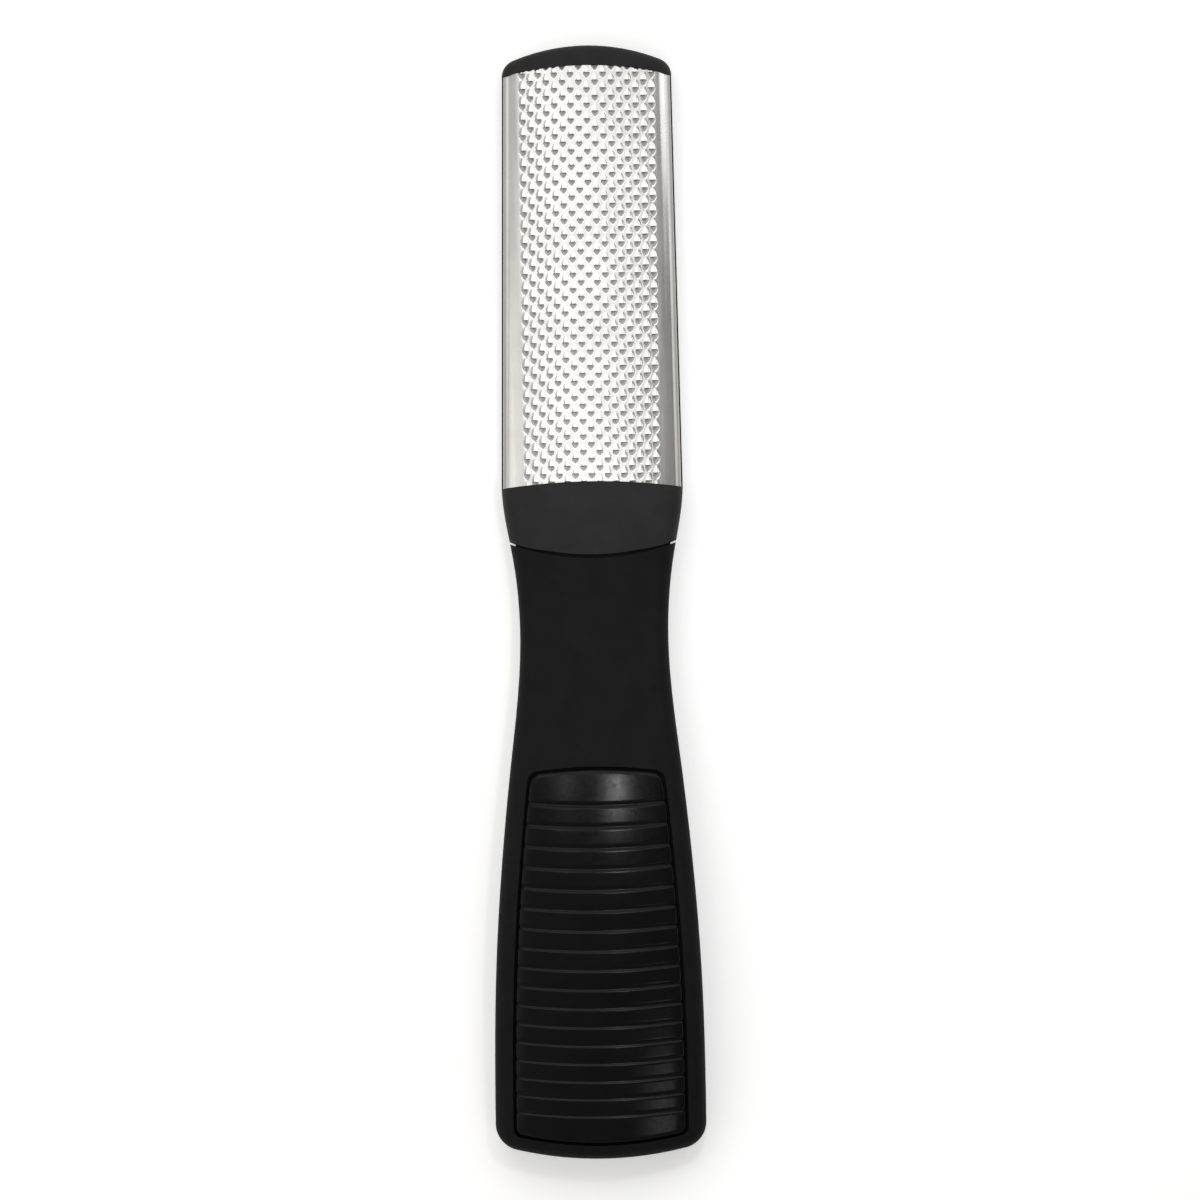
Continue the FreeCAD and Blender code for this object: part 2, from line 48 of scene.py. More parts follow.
# Places along the file and the arcs that part it, as in the solids
LIP_Y = 120.4 * MM
COLLAR_Y = 27.0 * MM
SEAM_Y = 10.3 * MM
PAD_TOP_Y = -37.0 * MM
BUTT_Y = -125.0 * MM
LIP_ARC = 87.0 * MM
COLLAR_ARC = 148.0 * MM
SEAM_ARC = 53.5 * MM
SEAM_GAP = 0.8 * MM

# Rasp plate: the crown and its columns of teeth
CROWN_RADIUS = 60.0 * MM
CROWN_TOP = 12.0 * MM
COLUMN_PITCH = 1.84 * MM
SIDE_COLUMNS = 8
TOOTH_PITCH = 3.46 * MM
FIRST_TOOTH_Y = 118.88 * MM
TOOTH_ROWS = 30
SHEET_THICKNESS = 0.25 * MM
PLATE_GAP = 0.1 * MM
PLATE_SHARP = 75.0
WELD = 0.002 * MM

# One tooth and its dent, on a cell of sheet that is divided into steps
CELL_ACROSS = 6
CELL_ALONG = 8
LIP_STEPS = 2
DENT_STEPS = 3
TOOTH_HALF_WIDTH = 0.75 * MM
TOOTH_HEIGHT = 0.50 * MM
TOOTH_RAMP = 1.40 * MM
LIP_QUARTER = 0.56
SIDE_ROOM = 0.07 * MM
DENT_DEPTH = 0.50 * MM
DENT_LENGTH = 1.29 * MM
DENT_TOE = 0.15 * MM

# Rolled flanks of the plate
TIP_HALF_WIDTH = 19.05 * MM
SHOULDER_HALF_WIDTH = 20.4 * MM
LEDGE = 0.35 * MM
FLANK_RADIUS = 4.0 * MM
FLANK_STEPS = 10
FLANGE_HEIGHT = 3.4 * MM
# Painted shade on the rolled flanks: the steel's colour falls to the given share between the upper
# and the lower height
ROLL_UNSHADED_Z = 9.0 * MM
ROLL_SHADED_Z = 7.7 * MM
ROLL_SHADED_SHARE = 0.32

# Lower rim of the collar
RIM_DROP = 0.45 * MM
RIM_DROP_START = 10.0 * MM
RIM_DROP_END = 15.5 * MM
RIM_BAND = 0.02 * MM
SIDE_SLOPE = 0.18
COLLAR_SHARP = 30.0

# Emery sheet
GRIT_CELL = 0.5 * MM
GRIT_RELIEF = 0.06 * MM
EMERY_SHARP = 40.0

# Grip pads: the outline
PAD_BUTT_INSET = 3.4 * MM
PAD_TOP_ARC = 95.0 * MM
PAD_BUTT_ARC = 82.6 * MM
PAD_TOP_CORNER = 2.4 * MM
PAD_BUTT_CORNER = 1.7 * MM
PAD_EDGE = 0.8 * MM
PAD_PLAIN = PAD_EDGE + PAD_TOP_CORNER
PAD_PROUD = 0.29 * MM
PAD_GAP = 0.3 * MM
PAD_WALL = 0.8 * MM
PAD_ACROSS = 16
PAD_SHARP = 50.0
HANDLE_CROWN = 80.0 * MM

# Half widths and heights of the handle at places along it, in millimetres, as in the solids
PAD_SIDES = (
    (-119.3, 19.4), (-65.7, 17.7), (-37.0, 14.9), (-8.5, 12.35), (10.3, 13.8), (27.5, 16.1),
)
HANDLE_HEIGHTS = (
    (-126.0, 12.6), (-98.0, 16.9), (-65.7, 18.6), (-37.0, 17.0),
    (-8.5, 13.9), (10.3, 13.6), (18.65, 14.1), (27.5, 13.2),
)

# Grip pads: the grooves; a section gives millimetres from the middle and a share of the depth
GROOVES = 17
FIRST_GROOVE = 8.4 * MM
GROOVE_PITCH_FIRST = 4.8 * MM
GROOVE_PITCH_LAST = 3.9 * MM
GROOVE_DEPTH = 0.35 * MM
GROOVE_ARC = 160.0 * MM
GROOVE_SECTION = (
    (1.05, 0.0), (0.72, 0.0), (0.56, 0.12), (0.40, 0.42), (0.22, 0.85), (0.0, 1.0),
)

# Rows of a pad's mesh: millimetres from its end, then shares of the plain stretches
EDGE_STEPS = (0.0, 0.05, 0.2, 0.45, 0.8)
CORNER_STEPS = (1.2, 1.7, 2.4)
RAMP_SHARES = (0.25, 0.5, 0.75)
BUTT_SHARES = (0.3, 0.6)

# Darkest and lightest cloud in the moulded plastics, as shares of their shade
PLASTIC_DARK = 0.85
PLASTIC_LIGHT = 1.15

# Camera: straight above the file, which leans a little to the left
PHOTO_SPAN = 269.8 * MM
CAMERA_HEIGHT = 1.40
FOCUS_HEIGHT = 8.0 * MM
CAMERA_X = 1.4 * MM
CAMERA_Y = 0.45 * MM
LEAN = math.radians(-0.8)
SENSOR = 36.0
CLIP_START = 0.01
CLIP_END = 50.0

# Floor, and a room that is darker on the right
FLOOR_RADIUS = 6.0
FLOOR_SIDES = 96
FLOOR_WHITE = (0.86, 0.86, 0.86, 1.0)
FLOOR_ROUGHNESS = 0.9
FLOOR_SPECULAR = 0.1
FLOOR_LIFT = 0.38
ROOM_WHITE = (1.0, 0.985, 0.97, 1.0)
ROOM_LEFT = 0.52
ROOM_RIGHT = 0.27
ROOM_FALL = 0.6


# Finishes

class Finish:
    """A procedural material: short helpers round its node tree."""

    def __init__(self, name):
        self.material = bpy.data.materials.new(name)
        self.material.use_nodes = True
        self.tree = self.material.node_tree
        self.shader = self.tree.nodes["Principled BSDF"]
        self.place = self.node("ShaderNodeTexCoord").outputs["Object"]

    def node(self, kind, **values):
        node = self.tree.nodes.new(kind)
        for name, value in values.items():
            setattr(node, name, value)
        return node

    def link(self, out, socket):
        self.tree.links.new(out, socket)

    def set(self, **values):
        for name, value in values.items():
            self.shader.inputs[name.replace("_", " ")].default_value = value

    def colour(self, out):
        self.link(out, self.shader.inputs["Base Color"])

    def rough(self, out):
        self.link(out, self.shader.inputs["Roughness"])

    def bump(self, height, distance):
        node = self.node("ShaderNodeBump")
        node.inputs["Distance"].default_value = distance
        self.link(height, node.inputs["Height"])
        self.link(node.outputs["Normal"], self.shader.inputs["Normal"])

    def noise(self, scale, detail=3.0, roughness=0.55, stretch=(1.0, 1.0, 1.0)):
        mapping = self.node("ShaderNodeMapping")
        mapping.inputs["Scale"].default_value = stretch
        self.link(self.place, mapping.inputs["Vector"])
        texture = self.node("ShaderNodeTexNoise")
        texture.inputs["Scale"].default_value = scale
        texture.inputs["Detail"].default_value = detail
        texture.inputs["Roughness"].default_value = roughness
        self.link(mapping.outputs["Vector"], texture.inputs["Vector"])
        return texture.outputs["Fac"]

    def ramp(self, fac, first, last, start=0.3, stop=0.7):
        """A colour that goes from the first to the last as its input goes from start to stop."""
        ramp = self.node("ShaderNodeValToRGB")
        ends = ramp.color_ramp.elements
        ends[0].position = start
        ends[1].position = stop
        ends[0].color = (*first, 1.0)
        ends[1].color = (*last, 1.0)
        self.link(fac, ramp.inputs["Fac"])
        return ramp.outputs["Color"]

    def spread(self, fac, low, high, start=0.3, stop=0.7):
        """A number that goes from low to high as its input goes from start to stop."""
        node = self.node("ShaderNodeMapRange")
        node.inputs["From Min"].default_value = start
        node.inputs["From Max"].default_value = stop
        node.inputs["To Min"].default_value = low
        node.inputs["To Max"].default_value = high
        self.link(fac, node.inputs["Value"])
        return node.outputs["Result"]

    def times(self, colour, fac):
        node = self.node("ShaderNodeVectorMath", operation="MULTIPLY")
        self.link(colour, node.inputs[0])
        self.link(fac, node.inputs[1])
        return node.outputs["Vector"]


def matte_plastic(name, shade, specular, smoothest, roughest, grain):
    """Moulded plastic with a faint cloud in its shade and a fine grain."""
    finish = Finish(name)
    finish.set(Specular_IOR_Level=specular)
    dark = tuple(PLASTIC_DARK * value for value in shade)
    light = tuple(PLASTIC_LIGHT * value for value in shade)
    cloud = finish.noise(scale=140.0, detail=4.0)
    finish.colour(finish.ramp(cloud, dark, light, start=0.35, stop=0.65))
    fine = finish.noise(scale=4200.0, detail=2.0)
    finish.rough(finish.spread(fine, smoothest, roughest))
    finish.bump(fine, grain)
    return finish.material


def rasp_steel():
    """Steel brushed along the file, with painted shade that darkens its colour low on the rolled
    flanks.
    """
    finish = Finish("rasp_steel")
    finish.set(Metallic=1.0)
    cloud = finish.noise(scale=90.0, detail=4.0)
    steel = finish.ramp(cloud, first=(0.74, 0.735, 0.715), last=(0.84, 0.835, 0.815))
    split = finish.node("ShaderNodeSeparateXYZ")
    finish.link(finish.place, split.inputs["Vector"])
    # Painted shade: the colour darkens from full to a share of it down the rolled flanks
    painted_shade = finish.spread(split.outputs["Z"], low=ROLL_SHADED_SHARE, high=1.0,
                           start=ROLL_SHADED_Z, stop=ROLL_UNSHADED_Z)
    finish.colour(finish.times(steel, painted_shade))
    brushed = finish.noise(scale=1500.0, roughness=0.6, stretch=(1.0, 0.03, 1.0))
    finish.rough(finish.spread(brushed, low=0.16, high=0.25))
    finish.bump(brushed, distance=0.004 * MM)
    return finish.material


def sheared_steel_with_painted_shade():
    """Torn steel in the dents under the teeth, rougher than the face; its darker colour is partly
    its own and partly painted shade in the dents.
    """
    finish = Finish("sheared_steel_with_painted_shade")
    finish.set(Metallic=1.0)
    torn = finish.noise(scale=2400.0, roughness=0.6, stretch=(1.0, 0.2, 1.0))
    # Painted shade in the dents, partly the torn steel's own darker tone
    finish.colour(finish.ramp(torn, first=(0.35, 0.345, 0.34), last=(0.47, 0.465, 0.46)))
    finish.rough(finish.spread(torn, low=0.45, high=0.6))
    finish.bump(torn, distance=0.02 * MM)
    return finish.material


def grip_rubber():
    finish = Finish("grip_rubber")
    finish.set(Specular_IOR_Level=0.13)
    cloud = finish.noise(scale=120.0, detail=4.0)
    rubber = finish.ramp(cloud, first=(0.0018, 0.0018, 0.002), last=(0.0034, 0.0034, 0.0036))
    finish.colour(rubber)
    finish.rough(finish.spread(finish.noise(scale=900.0), low=0.17, high=0.25))
    finish.bump(finish.noise(scale=5200.0, detail=2.0), distance=0.0028 * MM)
    return finish.material


def emery():
    """Single grains of grit, in clumps that are a little lighter or darker."""
    finish = Finish("emery")
    grains = finish.node("ShaderNodeTexVoronoi")
    grains.inputs["Scale"].default_value = 3400.0
    finish.link(finish.place, grains.inputs["Vector"])
    tone = grains.outputs["Color"]
    grit = finish.ramp(tone, first=(0.03, 0.029, 0.028), last=(0.30, 0.29, 0.27),
                       start=0.2, stop=0.8)
    clump = finish.spread(finish.noise(scale=600.0), low=0.7, high=1.2)
    finish.colour(finish.times(grit, clump))
    finish.rough(finish.spread(tone, low=0.9, high=0.5))
    finish.bump(grains.outputs["Distance"], distance=0.05 * MM)
    return finish.material


def zinc():
    finish = Finish("zinc")
    finish.set(Metallic=1.0)
    cloud = finish.noise(scale=900.0)
    finish.colour(finish.ramp(cloud, first=(0.5, 0.5, 0.51), last=(0.6, 0.6, 0.6)))
    finish.rough(finish.spread(cloud, low=0.3, high=0.45))
    return finish.material


FINISHES = {
    "head_core": matte_plastic("head_plastic", shade=(0.0155, 0.0155, 0.0158), specular=0.18,
                               smoothest=0.55, roughest=0.7, grain=0.012 * MM),
    "handle_front_shell": matte_plastic("handle_plastic", shade=(0.0068, 0.0068, 0.0071),
                                        specular=0.1, smoothest=0.62, roughest=0.78,
                                        grain=0.010 * MM),
    "rasp_plate": rasp_steel(),
    "front_grip_pad": grip_rubber(),
    "emery_sheet": emery(),
    "handle_screws": zinc(),
}
FINISHES["collar"] = FINISHES["head_core"]
FINISHES["handle_back_shell"] = FINISHES["handle_front_shell"]
FINISHES["back_grip_pad"] = FINISHES["front_grip_pad"]


def dress(thing, material):
    thing.data.materials.clear()
    thing.data.materials.append(material)


for node, material in FINISHES.items():
    dress(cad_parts[node], material)


# Helpers for the pieces

def sag(radius, reach):
    """How far an arc falls away from its middle at a given reach."""
    return radius - math.sqrt(radius ** 2 - reach ** 2)


def between(start, stop, share):
    return start + (stop - start) * share


def made_of(kind, geometry):
    return [item for item in geometry if isinstance(item, kind)]


def copy_of_solid(node):
    """A node's mesh as a bmesh, with its loose triangles merged."""
    bm = bmesh.new()
    bm.from_mesh(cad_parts[node].data)
    bmesh.ops.remove_doubles(bm, verts=bm.verts[:], dist=WELD)
    return bm


def add_piece(name, bm, materials, node, sharp):
    """Turns a finished bmesh into a piece that rides on the file and stands for a solid."""
    mesh = bpy.data.meshes.new(name)
    for material in materials:
        mesh.materials.append(material)
    bm.to_mesh(mesh)
    bm.free()
    mesh.shade_smooth()
    mesh.set_sharp_from_angle(angle=math.radians(sharp))
    piece = bpy.data.objects.new(name, mesh)
    bpy.context.collection.objects.link(piece)
    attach(piece, "root")
    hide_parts(node)


# Rasp plate

def lip_line(x):
    return LIP_Y - sag(LIP_ARC, x)


def collar_line(x):
    return COLLAR_Y - sag(COLLAR_ARC, x) + PLATE_GAP


def head_half_width(y):
    share = (y - COLLAR_Y) / (LIP_Y - COLLAR_Y)
    return between(SHOULDER_HALF_WIDTH, TIP_HALF_WIDTH, share)


def tooth_cell():
    """One tooth on a flat patch of sheet: a ramp up to its lip, and a dent that dips under it."""
    bm = bmesh.new()
    bmesh.ops.create_grid(bm, x_segments=CELL_ACROSS, y_segments=CELL_ALONG, size=0.5)

    def steps(vert):
        return round(vert.co.x * CELL_ACROSS), round(vert.co.y * CELL_ALONG)

    def on_lip(vert):
        across, along = steps(vert)
        return along == 0 and abs(across) <= LIP_STEPS

    slit = [edge for edge in bm.edges if all(on_lip(vert) for vert in edge.verts)]
    bmesh.ops.split_edges(bm, edges=slit)
    upper = {vert for vert in bm.verts
             if sum(face.calc_center_median().y for face in vert.link_faces) > 0.0}
    for vert in bm.verts:
        across, along = steps(vert)
        above = vert in upper
        x = across * COLUMN_PITCH / CELL_ACROSS
        y = along * TOOTH_PITCH / CELL_ALONG
        fade = 1.0 - abs(y) / (TOOTH_RAMP if above else DENT_LENGTH)
        if not above and fade > 0.0:
            fade = math.sqrt(1.0 - (y / DENT_LENGTH) ** 2)
        if abs(across) == LIP_STEPS and fade > 0.0:
            x = math.copysign(TOOTH_HALF_WIDTH + (SIDE_ROOM if along else 0.0), across)
        if abs(across) == 1 and fade > 0.0:
            x = math.copysign(TOOTH_HALF_WIDTH * (fade if along else LIP_QUARTER), across)
        elif abs(across) == 1 and along == -DENT_STEPS:
            x = math.copysign(DENT_TOE, across)
        rise = max(0.0, fade - abs(x) / TOOTH_HALF_WIDTH)
        vert.co = (x, y, rise * (TOOTH_HEIGHT if above else -DENT_DEPTH))
    # The dent's faces take the second material, whose darker colour is partly painted shade
    for face in bm.faces:
        if any(vert.co.z < 0.0 for vert in face.verts):
            face.material_index = 1
    return bm


def tooth_strip():
    """A straight row of teeth along the file, as a mesh to copy."""
    bm = tooth_cell()
    cell = bm.verts[:] + bm.edges[:] + bm.faces[:]
    for row in range(1, TOOTH_ROWS):
        copy = bmesh.ops.duplicate(bm, geom=cell)["geom"]
        bmesh.ops.translate(bm, vec=(0.0, -row * TOOTH_PITCH, 0.0),
                            verts=made_of(bmesh.types.BMVert, copy))
    strip = bpy.data.meshes.new("tooth_strip")
    bm.to_mesh(strip)
    bm.free()
    return strip


def trim(bm, a, b, outward):
    """Cuts a flat sheet along the line from a to b and drops what lies outward."""
    normal = Vector((a[1] - b[1], b[0] - a[0], 0.0))
    if normal.y * outward < 0.0:
        normal.negate()
    bmesh.ops.bisect_plane(bm, geom=bm.verts[:] + bm.edges[:] + bm.faces[:], dist=0.0,
                           plane_co=(a[0], a[1], 0.0), plane_no=normal, clear_outer=True)


def tooth_field():
    """All columns of teeth, laid flat, each trimmed to the arcs of the lip and of the collar."""
    strip = tooth_strip()
    field = bmesh.new()
    for column in range(-SIDE_COLUMNS, SIDE_COLUMNS + 1):
        bm = bmesh.new()
        bm.from_mesh(strip)
        start = FIRST_TOOTH_Y + TOOTH_PITCH * (1.0 if column % 2 == 0 else 0.5)
        bmesh.ops.translate(bm, vec=(column * COLUMN_PITCH, start, 0.0), verts=bm.verts[:])
        sides = [(column + half) * COLUMN_PITCH for half in (-0.5, 0.5)]
        reach = [CROWN_RADIUS * math.sin(side / CROWN_RADIUS) for side in sides]
        for line, outward in ((lip_line, 1.0), (collar_line, -1.0)):
            trim(bm, (sides[0], line(reach[0])), (sides[1], line(reach[1])), outward)
        part = bpy.data.meshes.new("tooth_column")
        bm.to_mesh(part)
        bm.free()
        field.from_mesh(part)
        bpy.data.meshes.remove(part)
    bpy.data.meshes.remove(strip)
    bmesh.ops.remove_doubles(field, verts=field.verts[:], dist=WELD)
    return field


def wrap_on_crown(bm):
    axis = CROWN_TOP - CROWN_RADIUS
    for vert in bm.verts:
        angle = vert.co.x / CROWN_RADIUS
        reach = CROWN_RADIUS + vert.co.z
        vert.co = (reach * math.sin(angle), vert.co.y, axis + reach * math.cos(angle))


def flank_places(y, edge_x):
    """Section of the rolled flank at a place along the file, from the crown to the flange."""
    angle = (SIDE_COLUMNS + 1) * COLUMN_PITCH / CROWN_RADIUS
    edge_z = CROWN_TOP - sag(CROWN_RADIUS, edge_x)
    centre_x = head_half_width(y) - LEDGE - FLANK_RADIUS
    start_x = centre_x + FLANK_RADIUS * math.sin(angle)
    start_z = edge_z - (start_x - edge_x) * math.tan(angle)
    centre_z = start_z - FLANK_RADIUS * math.cos(angle)
    places = []
    for step in range(FLANK_STEPS + 1):
        turn = angle + (math.pi / 2 - angle) * step / FLANK_STEPS
        places.append((centre_x + FLANK_RADIUS * math.sin(turn),
                       centre_z + FLANK_RADIUS * math.cos(turn)))
    return places + [(places[-1][0], FLANGE_HEIGHT)]


def roll_flank(bm, side):
    """Draws the side edge of the toothed crown out into a smooth rolled flank."""
    reach = CROWN_RADIUS * math.sin((SIDE_COLUMNS + 0.5) * COLUMN_PITCH / CROWN_RADIUS)
    rim = [edge for edge in bm.edges
           if edge.is_boundary and all(side * vert.co.x > reach - WELD for vert in edge.verts)]
    for step in range(FLANK_STEPS + 2):
        made = bmesh.ops.extrude_edge_only(bm, edges=rim)["geom"]
        rim = made_of(bmesh.types.BMEdge, made)
        for vert in made_of(bmesh.types.BMVert, made):
            low, high = collar_line(abs(vert.co.x)), lip_line(abs(vert.co.x))
            share = (vert.co.y - low) / (high - low)
            x, z = flank_places(vert.co.y, reach)[step]
            vert.co = (side * x, between(collar_line(x), lip_line(x), share), z)


def rasp_plate_piece():
    """The toothed crown with its rolled flanks, as one sheet with a thickness."""
    bm = tooth_field()
    wrap_on_crown(bm)
    for side in (-1.0, 1.0):
        roll_flank(bm, side)
    bmesh.ops.recalc_face_normals(bm, faces=bm.faces[:])
    if sum(face.normal.z for face in bm.faces) < 0.0:
        bmesh.ops.reverse_faces(bm, faces=bm.faces[:])
    bmesh.ops.solidify(bm, geom=bm.faces[:], thickness=SHEET_THICKNESS)
    steels = [FINISHES["rasp_plate"], sheared_steel_with_painted_shade()]
    add_piece("toothed_plate", bm, steels, "rasp_plate", PLATE_SHARP)


# Collar and emery sheet

def collar_piece():
    """The solid's own collar, with its lower rim drawn down at both ends to narrow the seam."""
    bm = copy_of_solid("collar")
    centre = Vector((0.0, SEAM_Y + SEAM_ARC))
    inside = SEAM_ARC - SEAM_GAP / 2 - RIM_BAND
    rim = [vert for vert in bm.verts if (vert.co.xy - centre).length > inside]
    for vert in rim:
        share = (abs(vert.co.x) - RIM_DROP_START) / (RIM_DROP_END - RIM_DROP_START)
        drop = RIM_DROP * min(max(share, 0.0), 1.0)
        vert.co += Vector((-math.copysign(SIDE_SLOPE * drop, vert.co.x), -drop, 0.0))
    add_piece("collar_ring", bm, [FINISHES["collar"]], "collar", COLLAR_SHARP)


def faces_at(bm, height):
    return [face for face in bm.faces
            if all(abs(vert.co.z - height) < WELD for vert in face.verts)]


def emery_piece():
    """The solid's own sheet, with its face cut into fine cells of grit at uneven depths."""
    low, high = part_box("emery_sheet")
    bm = copy_of_solid("emery_sheet")
    bmesh.ops.dissolve_faces(bm, faces=faces_at(bm, low[2]))
    for axis, across in ((1, (0.0, 1.0, 0.0)), (0, (1.0, 0.0, 0.0))):
        cells = round((high[axis] - low[axis]) / GRIT_CELL)
        for cell in range(1, cells):
            place = low[axis] + cell * (high[axis] - low[axis]) / cells
            faces = faces_at(bm, low[2])
            edges = {edge for face in faces for edge in face.edges}
            verts = {vert for face in faces for vert in face.verts}
            bmesh.ops.bisect_plane(bm, geom=faces + list(edges) + list(verts), dist=0.0,
                                   plane_co=Vector(across) * place, plane_no=across)
    grit = set(faces_at(bm, low[2]))
    for vert in bm.verts:
        if grit.issuperset(vert.link_faces):
            vert.co.z += GRIT_RELIEF * abs(noise.cell(vert.co / GRIT_CELL))
    add_piece("grit_sheet", bm, [FINISHES["emery_sheet"]], "emery_sheet", EMERY_SHARP)


# Grip pads

def smooth_line(points, flat_ends=False):
    """A smooth curve through points given from low to high: natural at its ends, or flat there."""
    xs = [x for x, y in points]
    ys = [y for x, y in points]
    last = len(points) - 1
    gaps = [xs[i + 1] - xs[i] for i in range(last)]
    rises = [(ys[i + 1] - ys[i]) / gaps[i] for i in range(last)]
    rows = np.zeros((last + 1, last + 1))
    right = np.zeros(last + 1)
    for i in range(1, last):
        rows[i, i - 1:i + 2] = gaps[i - 1], 2 * (gaps[i - 1] + gaps[i]), gaps[i]
        right[i] = 6 * (rises[i] - rises[i - 1])
    rows[0, 0] = rows[last, last] = 1.0
    if flat_ends:
        rows[0, :2] = 2 * gaps[0], gaps[0]
        rows[last, last - 1:] = gaps[-1], 2 * gaps[-1]
        right[0], right[last] = 6 * rises[0], -6 * rises[-1]
    bend = np.linalg.solve(rows, right)

    def at(x):
        i = min(max(sum(x > place for place in xs) - 1, 0), last - 1)
        a, b = xs[i + 1] - x, x - xs[i]
        gap = gaps[i]
        ends = ys[i] / gap - bend[i] * gap / 6, ys[i + 1] / gap - bend[i + 1] * gap / 6
        return (bend[i] * a ** 3 + bend[i + 1] * b ** 3) / (6 * gap) + ends[0] * a + ends[1] * b

    return at


def rounding(radius, gap):
    """How far a rounded edge has fallen at a distance from its border."""
    return sag(radius, max(radius - gap, 0.0))


def groove_places():
    """Places of the grooves along a pad, closing up a little towards the butt."""
    places = [PAD_TOP_Y - FIRST_GROOVE]
    for index in range(GROOVES - 1):
        pitch = between(GROOVE_PITCH_FIRST, GROOVE_PITCH_LAST, index / (GROOVES - 2))
        places.append(places[-1] - pitch)
    return places


# A row across a pad: where it crosses the middle, how it bows, how deep it lies,
# how far it is from the pad's end, and the radius of the corners there
PadRow = namedtuple("PadRow", "place bow depth end_gap corner")


def plain_rows(start, stop, bow, shares, corner):
    """Rows of a stretch without grooves, from a row on, whose bow changes on the way."""
    return [PadRow(between(start.place, stop, share), between(start.bow, bow, share),
                   0.0, PAD_PLAIN, corner) for share in shares]


def groove_rows(places):
    """Rows of the grooves, with one more along the middle of each land."""
    section = GROOVE_SECTION + tuple((-gap, depth) for gap, depth in GROOVE_SECTION[-2::-1])
    rows = []
    for index, place in enumerate(places):
        marks = [(place + gap * MM, depth * GROOVE_DEPTH) for gap, depth in section]
        if index + 1 < GROOVES:
            marks.append(((place + places[index + 1]) / 2, 0.0))
        rows += [PadRow(y, 1.0 / GROOVE_ARC, depth, PAD_PLAIN, PAD_TOP_CORNER)
                 for y, depth in marks]
    return rows


def pad_rows():
    """All rows of a pad from its top to the butt."""
    top, end = PAD_TOP_Y - PAD_GAP, BUTT_Y + PAD_BUTT_INSET + PAD_GAP
    near = [step * MM for step in EDGE_STEPS + CORNER_STEPS]
    places = groove_places()
    rows = [PadRow(top - gap, -1.0 / PAD_TOP_ARC, 0.0, gap, PAD_TOP_CORNER) for gap in near]
    first = places[0] + GROOVE_SECTION[0][0] * MM
    rows += plain_rows(rows[-1], first, 1.0 / GROOVE_ARC, RAMP_SHARES, PAD_TOP_CORNER)
    rows += groove_rows(places)
    last = end + near[-1]
    rows += plain_rows(rows[-1], last, 1.0 / PAD_BUTT_ARC, BUTT_SHARES, PAD_BUTT_CORNER)
    rows += [PadRow(end + gap, 1.0 / PAD_BUTT_ARC, 0.0, gap, PAD_BUTT_CORNER)
             for gap in near[::-1]]
    return rows


def pad_columns():
    """Columns of a pad from left to right: share of the half width, and distance from the side."""
    inner = [2.0 * step / PAD_ACROSS - 1.0 for step in range(PAD_ACROSS + 1)]
    edges = [step * MM for step in EDGE_STEPS[:-1]]
    left = [(-1.0, gap) for gap in edges]
    right = [(1.0, gap) for gap in edges[::-1]]
    return left + [(share, PAD_EDGE) for share in inner] + right


def pad_piece(name, node, front):
    """A grooved grip pad with rounded lands, on the crowned front or on the flat back."""
    rows, columns = pad_rows(), pad_columns()
    sides = smooth_line([(y * MM, half * MM) for y, half in PAD_SIDES], flat_ends=True)
    heights = smooth_line([(y * MM, z * MM) for y, z in HANDLE_HEIGHTS])
    bm = bmesh.new()
    across, along = len(columns) - 1, len(rows) - 1
    bmesh.ops.create_grid(bm, x_segments=across, y_segments=along, size=0.5)
    for vert in bm.verts:
        row = rows[round((0.5 - vert.co.y) * along)]
        share, side_gap = columns[round((vert.co.x + 0.5) * across)]
        half = sides(row.place + row.bow * sides(row.place) ** 2 / 2)
        half -= PAD_GAP + rounding(row.corner, row.end_gap)
        x = share * (half - side_gap)
        y = row.place + row.bow * x ** 2 / 2
        fall = row.depth + rounding(PAD_EDGE, min(row.end_gap, side_gap))
        crown = heights(y) + PAD_PROUD - x ** 2 / (2 * HANDLE_CROWN)
        vert.co = (x, y, crown - fall if front else fall)
    rim = [edge for edge in bm.edges if edge.is_boundary]
    made = bmesh.ops.extrude_edge_only(bm, edges=rim)["geom"]
    drop = -PAD_WALL if front else PAD_WALL
    bmesh.ops.translate(bm, vec=(0.0, 0.0, drop), verts=made_of(bmesh.types.BMVert, made))
    bmesh.ops.triangle_fill(bm, edges=made_of(bmesh.types.BMEdge, made), use_beauty=True)
    bmesh.ops.recalc_face_normals(bm, faces=bm.faces[:])
    add_piece(name, bm, [FINISHES[node]], node, PAD_SHARP)


rasp_plate_piece()
collar_piece()
emery_piece()
pad_piece("front_grip", "front_grip_pad", True)
pad_piece("back_grip", "back_grip_pad", False)


# Camera, floor and light

def add_camera():
    data = bpy.data.cameras.new("camera")
    data.sensor_width = SENSOR
    data.lens = SENSOR * (CAMERA_HEIGHT - FOCUS_HEIGHT) / PHOTO_SPAN
    data.clip_start = CLIP_START
    data.clip_end = CLIP_END
    camera = bpy.data.objects.new("camera", data)
    camera.location = (CAMERA_X, CAMERA_Y, CAMERA_HEIGHT)
    camera.rotation_euler = (0.0, 0.0, LEAN)
    bpy.context.collection.objects.link(camera)
    bpy.context.scene.camera = camera


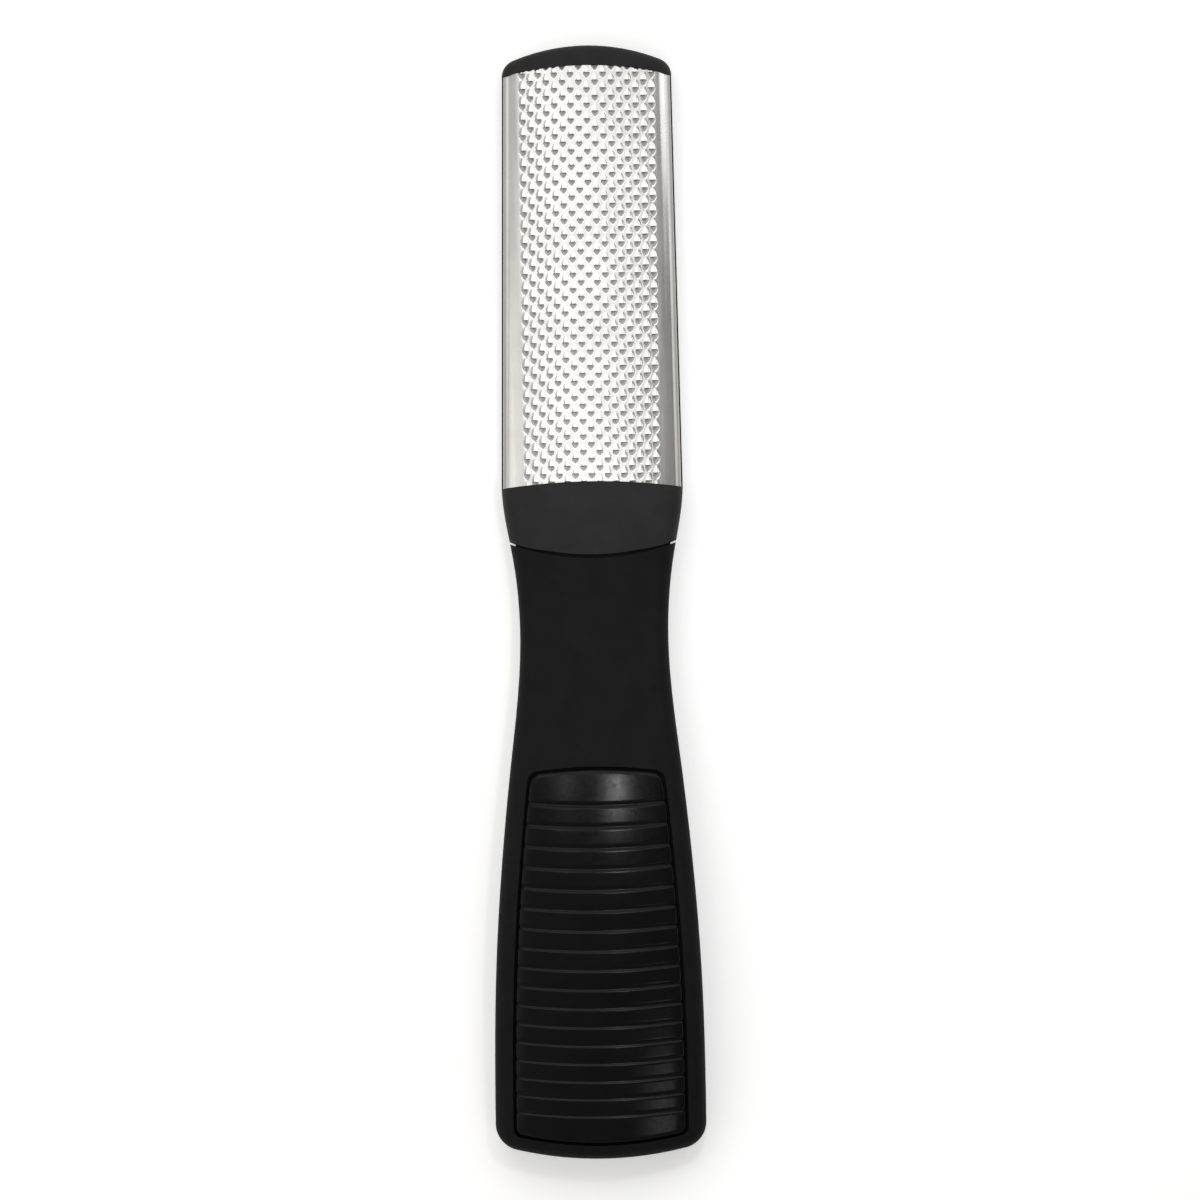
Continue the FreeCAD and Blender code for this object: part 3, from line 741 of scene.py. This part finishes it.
def floor_material():
    """A matte white that is lifted a little where the camera, a reflection or glass sees it."""
    material = bpy.data.materials.new("floor")
    material.use_nodes = True
    tree = material.node_tree
    shader = tree.nodes["Principled BSDF"]
    shader.inputs["Base Color"].default_value = FLOOR_WHITE
    shader.inputs["Roughness"].default_value = FLOOR_ROUGHNESS
    shader.inputs["Specular IOR Level"].default_value = FLOOR_SPECULAR
    shader.inputs["Emission Color"].default_value = (1.0, 1.0, 1.0, 1.0)
    rays = tree.nodes.new("ShaderNodeLightPath")
    seen = rays.outputs["Is Camera Ray"]
    for kind in ("Is Glossy Ray", "Is Transmission Ray"):
        either = tree.nodes.new("ShaderNodeMath")
        either.operation = "MAXIMUM"
        tree.links.new(seen, either.inputs[0])
        tree.links.new(rays.outputs[kind], either.inputs[1])
        seen = either.outputs[0]
    lift = tree.nodes.new("ShaderNodeMath")
    lift.operation = "MULTIPLY"
    lift.inputs[1].default_value = FLOOR_LIFT
    tree.links.new(seen, lift.inputs[0])
    tree.links.new(lift.outputs[0], shader.inputs["Emission Strength"])
    return material


def add_floor():
    mesh = bpy.data.meshes.new("floor")
    bm = bmesh.new()
    bmesh.ops.create_circle(bm, cap_ends=True, radius=FLOOR_RADIUS, segments=FLOOR_SIDES)
    bm.to_mesh(mesh)
    bm.free()
    floor = bpy.data.objects.new("floor", mesh)
    bpy.context.collection.objects.link(floor)
    dress(floor, floor_material())


def light_room():
    """A plain room whose glow falls off from left to right."""
    world = bpy.data.worlds.new("room")
    bpy.context.scene.world = world
    world.use_nodes = True
    tree = world.node_tree
    sky = tree.nodes["Background"]
    around = tree.nodes.new("ShaderNodeTexCoord").outputs["Generated"]
    split = tree.nodes.new("ShaderNodeSeparateXYZ")
    fall = tree.nodes.new("ShaderNodeMapRange")
    fall.interpolation_type = "SMOOTHSTEP"
    fall.inputs["From Min"].default_value = -ROOM_FALL
    fall.inputs["From Max"].default_value = ROOM_FALL
    fall.inputs["To Min"].default_value = ROOM_LEFT
    fall.inputs["To Max"].default_value = ROOM_RIGHT
    tree.links.new(around, split.inputs["Vector"])
    tree.links.new(split.outputs["X"], fall.inputs["Value"])
    tree.links.new(fall.outputs["Result"], sky.inputs["Strength"])
    sky.inputs["Color"].default_value = ROOM_WHITE


def add_lamp(name, place, aim, width, height, glow, tint=(1.0, 1.0, 1.0)):
    """A soft panel that faces its aim and is as bright as a white surface times its glow."""
    data = bpy.data.lights.new(name, "AREA")
    data.shape = "RECTANGLE"
    data.size = width
    data.size_y = height
    data.energy = glow * math.pi * width * height
    data.color = tint
    lamp = bpy.data.objects.new(name, data)
    lamp.location = place
    lamp.rotation_euler = (Vector(place) - Vector(aim)).to_track_quat("Z", "Y").to_euler()
    bpy.context.collection.objects.link(lamp)


def add_lamps():
    """Soft light on the head and the handle, and small panels for the glints on the front pad."""
    add_lamp("head_softbox", place=(-0.005, 0.088, 0.21), aim=(-0.005, 0.088, 0.0),
             width=0.25, height=0.155, glow=0.73)
    add_lamp("tip_key", place=(0.0, 1.0, 1.0), aim=(0.0, 0.05, 0.0),
             width=2.0, height=1.4, glow=0.94)
    add_lamp("left_panel", place=(-0.5, -0.125, 0.3), aim=(0.0, -0.125, 0.0),
             width=0.45, height=0.55, glow=0.52, tint=(1.0, 0.975, 0.92))
    add_lamp("right_strip", place=(0.268, 0.235, 0.111), aim=(0.018, 0.235, 0.01),
             width=0.24, height=0.2, glow=1.08)
    add_lamp("right_glint", place=(0.027, -0.013, 0.21), aim=(0.027, -0.013, 0.0),
             width=0.016, height=0.024, glow=43.0)
    add_lamp("left_glint", place=(-0.041, -0.005, 0.21), aim=(-0.041, -0.005, 0.0),
             width=0.02, height=0.024, glow=6.8)
    add_lamp("butt_glint", place=(0.21, -0.335, 0.5), aim=(0.014, -0.113, 0.0),
             width=0.10, height=0.10, glow=3.4)


bpy.context.scene.view_settings.view_transform = "Standard"
add_camera()
add_floor()
light_room()
add_lamps()
